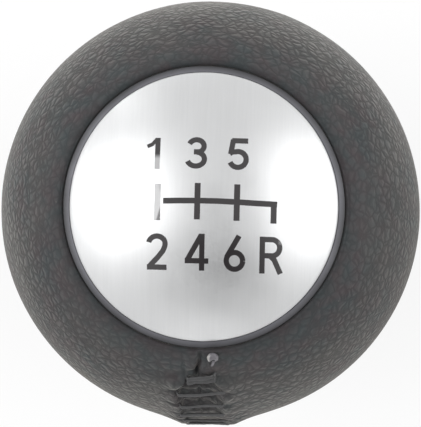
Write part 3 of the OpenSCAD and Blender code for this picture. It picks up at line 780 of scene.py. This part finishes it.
def build_lacing(s, t, material):
    """The thread's bars, the first one doubled, and its way back under the hide from each bar to the next."""
    lacing, under = Parts(), depth_under_hide(s, t)
    bars = bar_angles(t)
    for i, a in enumerate(bars):
        slant = -math.radians(1.0 + 0.3 * math.sin(i * 2.4 + 0.6))
        if i == 0:
            lacing.add(*thread_bar(s, t, 0.3, a - math.radians(0.6), slant, 1.06, -0.12 * MM))
            lacing.add(*thread_bar(s, t, 0.0, a + math.radians(0.7), slant, 1.02, -0.08 * MM))
        else:
            lacing.add(*thread_bar(s, t, i, a, slant, 0.95 + 0.05 * math.sin(i * 2.9)))
        if i < t.bars - 1:
            after = bars[i + 1]
            way_back = [seam_point(s, seam_middle(a) - t.half * reach_left(i), under, a),
                        seam_point(s, 0, under, (a + after) / 2),
                        seam_point(s, seam_middle(after) + t.half * reach_right(i + 1), under, after)]
            lacing.add(*tube_along(way_back, t.thickness / 2 * 0.96))
    return lacing.piece("seam_lacing", material)


def build_melted_end(s, t, material):
    """Melted end of the thread: a flattened bead with a notch and a raised leg at its left, and its tail."""
    knot_a, knot_x = t.first - t.knot_up, t.knot_side
    bm = bmesh.new()
    bmesh.ops.create_icosphere(bm, subdivisions=5, radius=t.knot / 2)
    centre = seam_point(s, knot_x, 0.30 * MM, knot_a)
    out = (centre - Vector((0, 0, s.ball_height))).normalized()
    down = Vector((0, -math.cos(knot_a), -math.sin(knot_a)))
    right = Vector((1, 0, 0))
    notch = down * 0.60 * MM - right * 0.20 * MM
    groove = (down * 0.83 - right * 0.56).normalized()
    leg = down * 0.12 * MM - right * 0.42 * MM
    for v in bm.verts:
        p = v.co.copy()
        height, along = p.dot(out), p.dot(down)
        p *= 1 + 0.13 * noise.noise(p * 1500 + Vector((3, 1, 7))) + 0.05 * noise.noise(p * 3600)
        p -= out * height * 0.22
        away, beside = p - notch, p - leg
        away -= out * away.dot(out) + groove * away.dot(groove) * 0.6
        beside -= out * beside.dot(out) + down * beside.dot(down) * 0.5
        p -= out * math.exp(-(away.length / (0.21 * MM)) ** 2) * 0.62 * MM
        p += out * math.exp(-(beside.length / (0.2 * MM)) ** 2) * (0.14 * MM if height > 0 else 0)
        p += down * max(along, 0) * 0.12 - right * max(-p.dot(right), 0) * 0.08
        v.co = centre + p
    bead = Parts()
    bead.add([v.co for v in bm.verts], [[v.index for v in f.verts] for f in bm.faces])
    bm.free()
    tail_a = knot_a + math.radians(4.6)
    tail = [seam_point(s, knot_x - 0.18 * MM, depth_under_hide(s, t), tail_a),
            seam_point(s, knot_x - 0.20 * MM, -0.15 * MM, tail_a - 0.008),
            seam_point(s, knot_x - 0.15 * MM, 0.16 * MM, tail_a - 0.022),
            seam_point(s, knot_x - 0.02 * MM, 0.30 * MM, tail_a - 0.038),
            seam_point(s, knot_x + 0.10 * MM, 0.40 * MM, knot_a + 0.012)]
    bead.add(*tube_along(tail, [t.thickness / 2 * k for k in (0.62, 0.62, 0.56, 0.54, 0.6)], sides=14))
    return bead.piece("melted_thread_end", material)


# Cap and pattern

def dome_height(c, x, y):
    """Height of the cap's face above the seat."""
    return c.top - c.dome + math.sqrt(max(c.dome ** 2 - x * x - y * y, 0))


def dome_arc(c, radius, edge, n):
    """Arc in the cap's dome or parallel to it, from the axis to a distance edge from it."""
    return arc(0, c.top - c.dome, radius, 90, math.degrees(math.acos(edge / radius)), n)


def build_cap(c, material):
    """Pressed cap: a dome with a softly rounded rim that is turned down."""
    edge_z, soft = dome_height(c, c.radius, 0), 0.05 * MM
    low, inner = edge_z - c.skirt, c.radius - c.sheet
    rim = [(c.radius - 0.07 * MM, edge_z + 0.025 * MM), (c.radius - 0.02 * MM, edge_z - 0.03 * MM),
           (c.radius, edge_z - 0.10 * MM)]
    skirt = [(c.radius, low + soft), (c.radius - soft, low), (inner + soft, low), (inner, low + soft)]
    outline = dome_arc(c, c.dome, c.radius - 0.16 * MM, 60) + rim + skirt
    outline += dome_arc(c, c.dome - c.sheet, inner, 24)[::-1]
    return lathe("domed_cap", outline, material, turns=256, split=50)


# Places across an ink stroke in half widths; its two edges lie a little under the metal.
STROKE_SECTION = (-1.0, -0.8, -0.4, 0.0, 0.4, 0.8, 1.0)
EDGE_DEPTH = 0.03 * MM

# Centre of each sign on the cap in millimetres.
SIGNS = (("1", -5.56, 5.73), ("3", -0.72, 5.87), ("5", 3.87, 5.85), ("2", -4.92, -5.22), ("4", -0.46, -5.18),
         ("6", 3.75, -5.25), ("R", 7.77, -5.33))


def digit_strokes():
    """Centre lines of each sign in a box one unit high, with its width; y is up from the foot."""
    t = 0.078
    return {
        "1": (0.40, [[(0.31, 0.0), (0.31, 1.0)], [(0.02, 0.72), (0.16, 0.79), (0.285, 0.96)]]),
        "2": (0.60, [oval_arc(0.30, 0.72, 0.225, 0.20, 172, 0) + [(0.515, 0.64), (0.47, 0.53), (0.32, 0.34),
                                                                  (0.16, 0.17), (0.085, t)],
                     [(0.03, t), (0.57, t)]]),
        "3": (0.60, [oval_arc(0.29, 0.715, 0.205, 0.205, 160, -62) + [(0.30, 0.53)],
                     [(0.22, 0.53), (0.33, 0.53)],
                     [(0.30, 0.53)] + oval_arc(0.28, 0.30, 0.235, 0.225, 66, -162)]),
        "4": (0.64, [[(0.46, 0.0), (0.46, 1.0)], [(0.44, 0.965), (0.07, 0.29)],
                     [(0.0, 0.265), (0.64, 0.265)]]),
        "5": (0.60, [[(0.13, 0.925), (0.565, 0.925)], [(0.165, 0.96), (0.10, 0.49)],
                     [(0.075, 0.505), (0.15, 0.56)] + oval_arc(0.30, 0.325, 0.225, 0.255, 108, -158)]),
        "6": (0.60, [oval_arc(0.30, 0.305, 0.222, 0.228, 0, 360, 30),
                     [(0.415, 0.985), (0.30, 0.78), (0.16, 0.53), (0.10, 0.42), (0.078, 0.32)]]),
        "R": (0.62, [[(0.075, 0.0), (0.075, 1.0)],
                     [(0.05, 0.925), (0.33, 0.925)] + oval_arc(0.34, 0.705, 0.205, 0.22, 88, -88)
                     + [(0.05, 0.485)],
                     [(0.30, 0.47), (0.40, 0.38), (0.575, 0.0)]]),
    }


def gate_strokes(p):
    """Centre lines of the gate's bars on the cap in millimetres, with their widths; the long bar is bowed."""
    g = p.gate_stroke
    corner = 7.98
    bowed = [(-4.33, 0.44), (-2.5, 0.50), (-0.5, 0.54), (1.7, 0.54), (3.9, 0.48), (5.9, 0.40),
             (corner + g / 2 / MM, 0.33)]
    return [([(-4.95, 2.32), (-4.95, -1.73)], g), ([(-0.50, 2.50), (-0.50, -1.55)], g),
            ([(3.89, 2.45), (3.89, -1.60)], g), (bowed, g * 0.96), ([(corner, 0.62), (corner, -1.80)], g)]


def stroke_strip(c, path, width, lift, step=0.12 * MM):
    """Thin strip of ink along a path on the cap, its sides rounded down to the metal."""
    corners = [Vector(p) for p in path]
    line = [corners[0]]
    for a, b in zip(corners, corners[1:]):
        n = max(1, int((b - a).length / step))
        line += [a.lerp(b, k / n) for k in range(1, n + 1)]
    verts, faces = [], []
    for i, p in enumerate(line):
        before = (p - line[i - 1]).normalized() if i else None
        after = (line[i + 1] - p).normalized() if i < len(line) - 1 else None
        if before is None or after is None:
            along, stretch = (after or before), 1.0
        else:
            along = (before + after).normalized()
            stretch = min(1 / max(along.dot(after), 0.4), 1.6)
        side = Vector((-along.y, along.x))
        for u in STROKE_SECTION:
            q = p + side * (u * width / 2 * stretch)
            verts.append((q.x, q.y, dome_height(c, q.x, q.y) + (-EDGE_DEPTH if abs(u) == 1.0 else lift)))
    wide = len(STROKE_SECTION)
    for i in range(len(line) - 1):
        for k in range(wide - 1):
            faces.append((i * wide + k, (i + 1) * wide + k, (i + 1) * wide + k + 1, i * wide + k + 1))
    return verts, faces


def build_pattern(c, p, material):
    """Digits and gate; each stroke lies a hair above the one before, so that no two share a plane."""
    drawn, strokes = digit_strokes(), []
    for sign, x, y in SIGNS:
        size, squeeze = (p.top_digit, 1.165) if y > 0 else (p.low_digit, 1.0)
        width, paths = drawn[sign]
        for path in paths:
            thinner = 0.72 if sign == "1" and path is paths[1] else 1.0
            strokes.append(([(x * MM + (u - width / 2) * size * squeeze, y * MM + (v - 0.5) * size)
                             for u, v in path], p.stroke * thinner))
    strokes += [([(x * MM, y * MM) for x, y in path], width) for path, width in gate_strokes(p)]
    pattern, hair = Parts(), 0.0008 * MM
    for number, (path, width) in enumerate(strokes, 1):
        pattern.add(*stroke_strip(c, path, width, p.relief + hair * number))
    return pattern.piece("shift_pattern", material, smooth=False)


# Trim and hidden pieces

def build_bezel(material):
    """Ring whose lip slopes outward, over the ledge that carries the cap."""
    inner, outer, top, foot = CAP_HIGH.x + 0.01 * MM, BEZEL_HIGH.x, BEZEL_HIGH.z, BEZEL_LOW.z
    ledge_inner, lip, slope, wall = 13.2 * MM, 1.35 * MM, 0.3 * MM, 0.8 * MM
    ledge = top - lip
    outline = [(ledge_inner, ledge), (inner, ledge), (inner, top), (outer, top - slope), (outer, foot),
               (outer - wall, foot), (outer - wall, ledge - wall), (ledge_inner, ledge - wall)]
    corners = rounded(outline, (0.1, 0, 0.05, 0.14, 0.1, 0.1, 0.2, 0.1))
    return lathe("bezel_trim", corners[::-1], material, turns=256, split=40)


def build_collar(material):
    """Collar with an outer wall over the hide's lower edge and an inner neck."""
    low, high, outer = COLLAR_LOW.z, COLLAR_HIGH.z, COLLAR_HIGH.x
    bore, neck, wall = 8.0 * MM, 9.2 * MM, 12.6 * MM
    wall_top, web = 4.4 * MM, 2 * MM
    outline = [(bore, low), (outer, low), (outer, wall_top), (wall, wall_top), (wall, web), (neck, web),
               (neck, high), (bore, high)]
    corners = rounded(outline, (0.3, 0.5, 0.22, 0.2, 0.1, 0.1, 0.25, 0.2))
    return lathe("collar_trim", corners[::-1], material, turns=192, split=40)


def build_insert(material):
    """Bush with two grooves outside and a cut thread inside."""
    low, high, r = INSERT_LOW.z, INSERT_HIGH.z, INSERT_HIGH.x
    bore_top, bevel = low + 22 * MM, 0.3 * MM
    groove, half_groove, groove_in = 0.7 * MM, 0.75 * MM, 7.2 * MM
    minor, pitch, deep = 5.33 * MM, 1.25 * MM, 0.62 * MM
    turns, rows = 96, 288
    a = full_turn(turns)
    z, around = np.meshgrid(np.linspace(low, bore_top, rows), a, indexing="ij")
    wave = np.abs(((z / pitch - around / (2 * math.pi)) % 1.0) * 2 - 1)
    cut = np.clip((wave - 0.16) / 0.72, 0, 1) * deep
    cut *= np.clip((bore_top - 2 * MM - z) / (1.2 * MM), 0, 1)
    flare = np.clip(1 - (z - low) / (0.8 * MM), 0, 1) * 0.8 * MM
    shell = [(r - bevel, low), (r, low + bevel)]
    for middle in (low + groove_in, high - groove_in):
        shell += [(r, middle - half_groove), (r - groove, middle - half_groove),
                  (r - groove, middle + half_groove), (r, middle + half_groove)]
    shell += [(r, high - bevel), (r - bevel, high), (0.01 * MM, high)]
    shell_r, shell_z = np.array(shell).T[:, :, None]
    bush = Parts()
    bore = turned(np.maximum(minor + cut, minor + flare), z, around)
    bush.add(bore.reshape(-1, 3), grid_faces(rows, turns))
    base = rows * turns
    bush.add(turned(shell_r, shell_z, a).reshape(-1, 3), grid_faces(len(shell), turns))
    for c in range(turns):
        c1 = (c + 1) % turns
        bush.faces.append((base + c, base + c1, c1, c))
    bush.faces.append(tuple((rows - 1) * turns + c for c in range(turns)))
    piece = bush.piece("insert_bush", material)
    sharpen(piece, 35)
    return piece


def build_padding(s, material):
    """Thin foam band under the hide, with softly rounded edges and a seam channel at the lacing."""
    outer = s.ball_radius - s.thickness - 0.12 * MM
    inner = outer - 1.46 * MM
    middle = (outer + inner) / 2
    low, high, edge = math.radians(-44.6), math.radians(36.5), 0.012
    rows, turns = 44, 160
    shares = [i / (rows - 1) for i in range(rows)]
    loop = [(outer - 0.05 * MM * math.sin(u * 40), low + (high - low) * u) for u in shares]
    loop += [(middle, high + edge)]
    loop += [(inner, low + (high - low) * (1 - u)) for u in shares]
    loop += [(middle, low - edge)]
    r, rise = np.array(loop).T[:, :, None]
    around = full_turn(turns)
    channel = (np.cos(around + math.pi / 2) > 0) & (np.abs(r * np.cos(rise) * np.cos(around)) < 3.6 * MM)
    channel = channel & (r > middle) & (rise > -0.76) & (rise < 0.62)
    q = r - 0.75 * MM * channel
    verts = turned(q * np.cos(rise), s.ball_height + q * np.sin(rise), around).reshape(-1, 3)
    return new_piece("padding_band", verts, grid_faces(len(loop), turns, closed=True), material)


def build_tape(c, material):
    """Adhesive disc that follows the underside of the dome."""
    outer, inner, rim = c.dome - 0.92 * MM, c.dome - 1.28 * MM, 14.0 * MM
    outline = dome_arc(c, outer, rim, 30) + dome_arc(c, inner, rim, 30)[::-1]
    return lathe("adhesive_disc", outline, material, turns=128, split=40)


def finish_node(name, material):
    """Gives a carried-over solid its finish."""
    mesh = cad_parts[name].data
    mesh.materials.clear()
    mesh.materials.append(material)


class KnobOperator:
    bl_options = {"REGISTER", "UNDO"}


def belongs(piece, slot, *nodes):
    """Gives a piece its body and hides the solids that it replaces; the slot is not used."""
    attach(piece, "root")
    if nodes:
        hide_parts(*nodes)


class KNOB_OT_leather(KnobOperator, Operator):
    """Leather cover with its rolled mouth, laced lips and crease"""
    bl_idname = "knob.leather"
    bl_label = "Leather Cover"

    def execute(self, context):
        leather, lacing = context.scene.knob_leather, context.scene.knob_lacing
        belongs(build_leather(leather, lacing, leather_material(leather)), "leather", "leather_cover")
        return {"FINISHED"}


class KNOB_OT_lacing(KnobOperator, Operator):
    """Thread bars across the seam and the thread's melted end"""
    bl_idname = "knob.lacing"
    bl_label = "Seam Lacing"

    def execute(self, context):
        leather, lacing = context.scene.knob_leather, context.scene.knob_lacing
        waxed = even_finish("Waxed thread", toned(lacing.thread), toned(lacing.thread, 1.5), 0.4, 0.6,
                            grains=9000.0, relief=0.5, depth=0.05 * MM, Specular_IOR_Level=0.5)
        belongs(build_lacing(leather, lacing, waxed), "thread", "seam_thread")
        belongs(build_melted_end(leather, lacing, melted_material(lacing)), "thread")
        return {"FINISHED"}


class KNOB_OT_cap(KnobOperator, Operator):
    """Domed satin cap with a turned down edge"""
    bl_idname = "knob.cap"
    bl_label = "Pattern Cap"

    def execute(self, context):
        cap = context.scene.knob_cap
        belongs(build_cap(cap, satin_metal(cap)), "cap_metal", "pattern_cap")
        return {"FINISHED"}


class KNOB_OT_pattern(KnobOperator, Operator):
    """Shift pattern printed on the cap"""
    bl_idname = "knob.pattern"
    bl_label = "Shift Pattern"

    def execute(self, context):
        cap, pattern = context.scene.knob_cap, context.scene.knob_pattern
        belongs(build_pattern(cap, pattern, ink_material(cap)), "cap_metal")
        return {"FINISHED"}


class KNOB_OT_trim(KnobOperator, Operator):
    """Bezel ring round the cap, trim collar round the neck and the cap's carrier"""
    bl_idname = "knob.trim"
    bl_label = "Bezel And Collar"

    def execute(self, context):
        trim = context.scene.knob_trim
        plastic = plain_finish("Textured black plastic", trim.plastic, 0.42, 0.58, grains=2600.0, relief=0.35,
                               depth=0.05 * MM)
        belongs(build_bezel(bezel_material(trim)), "bezel_metal", "bezel_ring")
        belongs(build_collar(plastic), "black_plastic", "neck_collar")
        finish_node("cap_carrier", plastic)
        return {"FINISHED"}


class KNOB_OT_inside(KnobOperator, Operator):
    """Threaded insert, core, weight, screws, padding and the other pieces inside"""
    bl_idname = "knob.inside"
    bl_label = "Inner Pieces"

    def execute(self, context):
        leather, cap, trim = context.scene.knob_leather, context.scene.knob_cap, context.scene.knob_trim
        brass = plain_finish("Turned brass", trim.brass, 0.22, 0.38, grains=3200.0, relief=0.1, Metallic=1.0)
        steel = plain_finish("Plated steel", trim.steel, 0.25, 0.4, grains=3000.0, relief=0.1, Metallic=1.0,
                             spread=0.05)
        iron = plain_finish("Cast iron", trim.iron, 0.5, 0.75, grains=1500.0, relief=0.6, depth=0.08 * MM,
                            Metallic=0.9)
        core = plain_finish("Moulded core plastic", trim.core, 0.45, 0.6, grains=2200.0, relief=0.2)
        foam = plain_finish("Foam padding", trim.foam, 0.85, 0.95, grains=2400.0, relief=0.8, depth=0.12 * MM)
        tape = plain_finish("Adhesive tape", trim.tape, 0.5, 0.65, grains=1800.0, relief=0.25)
        belongs(build_insert(brass), "insert_brass", "threaded_insert")
        padding = build_padding(leather, foam)
        belongs(padding, "padding", "foam_liner")
        belongs(build_tape(cap, tape), "adhesive_tape", "cap_tape")
        for name in ("upper_core", "lower_core"):
            finish_node(name, core)
        for name in ("core_screw_1", "core_screw_2", "core_screw_3", "retaining_ring"):
            finish_node(name, steel)
        finish_node("balance_weight", iron)
        return {"FINISHED"}


# Stage

# Name, direction from the knob, distance, width and height, turn in degrees and power of each lamp.
SOFTBOXES = (("left_softbox", (-0.985, 0.105, 1), 0.84, (0.62, 0.58), 24, 3.28),
             ("right_softbox", (1.351, 0.19, 1), 0.84, (0.47, 0.72), 0, 2.85),
             ("low_softbox", (-0.62, 0.78, 0.02), 0.6, (0.60, 0.08), 0, 0.28))


def floor_material(s):
    """Pale floor that shows white to the camera and in reflections and keeps the knob's shadow; near the knob
    its reflections show a painted pool of light, bright behind the knob and dim in front.
    """
    w = Finish("Pale studio floor", Roughness=0.9, Specular_IOR_Level=0.1)
    w.colour(w.mix(w.noise(w.place, 6.0, 3.0), toned(s.floor, 0.995), toned(s.floor)))
    rays = w.add("ShaderNodeLightPath").outputs
    far = w.soft_ramp(w.from_axis(w.place), 0.05, 0.12)
    # Painted light: a glowing pool on the floor near the knob, bright behind and dim in front, seen in
    # reflections.
    painted_light_pool = w.ramp(w.dot(w.place, (-0.35, 0.94, 0.0)), -0.03, 0.02, 0.25, 1.7)
    strength = w.blend(rays["Is Camera Ray"], w.blend(far, painted_light_pool, 1.18), 1.0)
    glow = w.add("ShaderNodeEmission", {"Color": (1.0, 1.0, 1.0, 1.0), "Strength": strength})
    seen = w.maths("ADD", rays["Is Camera Ray"], rays["Is Glossy Ray"])
    seen = w.maths("ADD", seen, rays["Is Transmission Ray"], clamp=True)
    mixed = w.add("ShaderNodeMixShader", {0: w.maths("MULTIPLY", seen, 0.75), 1: w.shader.outputs[0],
                                          2: glow.outputs[0]})
    w.link(mixed.outputs[0], w.tree.nodes["Material Output"].inputs["Surface"])
    return w.material


def build_floor(s):
    half, drop = 3.0, 0.02 * MM
    corners = [(-half, -half, 0), (half, -half, 0), (half, half, 0), (-half, half, 0)]
    floor = new_piece("studio_floor", corners, [(0, 1, 2, 3)], floor_material(s), smooth=False)
    floor.location.z = -drop
    return floor


def upright_turn(toward):
    """Turn of a lamp or camera that looks back along a direction, with its upper side to +Y."""
    side = Vector((0, 1, 0)).cross(toward).normalized()
    return Matrix((side, toward.cross(side), toward)).transposed().to_quaternion()


def add_softbox(aim, name, toward, reach, size, turn, power):
    """Area lamp that faces aim, turned about its own axis."""
    data = bpy.data.lights.new(name, "AREA")
    data.shape = "RECTANGLE"
    data.size, data.size_y = size
    data.energy = power
    lamp = bpy.data.objects.new(name, data)
    toward = Vector(toward).normalized()
    lamp.rotation_mode = "QUATERNION"
    lamp.rotation_quaternion = Quaternion(toward, math.radians(turn)) @ upright_turn(toward)
    lamp.location = aim + toward * reach
    bpy.context.scene.collection.objects.link(lamp)


def studio_world():
    """White surroundings, dimmer to the front and above, with a low glow behind and one in front."""
    world = bpy.data.worlds.new("Studio")
    world.use_nodes = True
    w = Wiring(world.node_tree)
    place = w.add("ShaderNodeTexCoord").outputs["Generated"]
    front, above = w.dot(place, (0.11, -0.57, 0.814)), w.dot(place, (0.10, -0.02, 0.995))
    rear, near = w.dot(place, (0.1, 0.76, 0.64)), w.dot(place, (0.0, -0.93, 0.36))
    behind, height = w.dot(place, (-0.34, 0.94, 0.0)), w.parts(place)[2]
    level = w.maths("MULTIPLY", w.soft_ramp(front, 0.83, 1.0, 0.98, 0.27),
                    w.soft_ramp(above, 0.80, 1.0, 1.0, 0.78))
    level = w.maths("MULTIPLY", level, w.soft_ramp(rear, 0.5, 1.0, 1.0, 0.93))
    low_glow = w.maths("MULTIPLY", w.soft_ramp(height, 0.02, 0.24, 1.0, 0.0),
                       w.ramp(behind, -1.0, 1.0, -0.35, 0.72))
    level = w.maths("MULTIPLY_ADD", low_glow, level, level)
    level = w.maths("ADD", level, w.soft_ramp(near, 0.93, 1.0, 0.0, 0.7))
    level = w.mix(w.add("ShaderNodeLightPath").outputs["Is Camera Ray"], level, (1.0, 1.0, 1.0))
    sky = w.tree.nodes["Background"]
    w.link(level, sky.inputs["Color"])
    sky.inputs["Strength"].default_value = 1.0
    return world


def add_camera(s, aim):
    """Camera almost straight above the knob, where the photograph was taken from."""
    data = bpy.data.cameras.new("photo_camera")
    data.sensor_fit = "AUTO"
    data.sensor_width = 24.0
    data.lens = s.lens
    data.clip_start, data.clip_end = 0.01, 10
    camera = bpy.data.objects.new("photo_camera", data)
    bpy.context.scene.collection.objects.link(camera)
    back = Vector((math.tan(s.lean_right), -math.tan(s.lean_near), 1)).normalized()
    camera.rotation_mode = "QUATERNION"
    camera.rotation_quaternion = Quaternion(back, s.roll) @ upright_turn(back)
    camera.location = aim + back * s.distance
    return camera


class KNOB_OT_stage(KnobOperator, Operator):
    """Pale floor, soft studio light and the camera above the knob"""
    bl_idname = "knob.stage"
    bl_label = "Stage"

    def execute(self, context):
        scene = context.scene
        aim = Vector((0, -0.335 * MM, 36 * MM))
        floor = build_floor(scene.knob_stage)
        for lamp in SOFTBOXES:
            add_softbox(aim, *lamp)
        scene.world = studio_world()
        scene.camera = add_camera(scene.knob_stage, aim)
        scene.view_settings.view_transform = "Standard"
        return {"FINISHED"}


OPERATORS = (KNOB_OT_leather, KNOB_OT_lacing, KNOB_OT_cap, KNOB_OT_pattern, KNOB_OT_trim, KNOB_OT_inside,
             KNOB_OT_stage)


class KNOB_PT_panel(Panel):
    """Sizes, colours and build steps of the shift knob"""
    bl_idname = "KNOB_PT_panel"
    bl_label = "Shift Knob"
    bl_space_type = "VIEW_3D"
    bl_region_type = "UI"
    bl_category = "Shift Knob"

    def draw(self, context):
        column = self.layout.column()
        for operator in OPERATORS:
            column.operator(operator.bl_idname)
        for attribute, group_class in SETTINGS.items():
            box = column.box()
            box.label(text=group_class.__name__.replace("Settings", ""))
            for key in group_class.__annotations__:
                box.prop(getattr(context.scene, attribute), key)


CLASSES = (*SETTINGS.values(), *OPERATORS, KNOB_PT_panel)


def register():
    for cls in CLASSES:
        bpy.utils.register_class(cls)
    for attribute, group_class in SETTINGS.items():
        setattr(bpy.types.Scene, attribute, PointerProperty(type=group_class))


def unregister():
    for attribute in SETTINGS:
        delattr(bpy.types.Scene, attribute)
    for cls in reversed(CLASSES):
        bpy.utils.unregister_class(cls)


def build_knob():
    """Builds every piece through the operators."""
    register()
    for operator in OPERATORS:
        call = getattr(bpy.ops.knob, operator.bl_idname.split(".")[1])
        if "FINISHED" not in call():
            raise RuntimeError(operator.bl_label + " did not finish")


if __name__ == "__main__":
    build_knob()
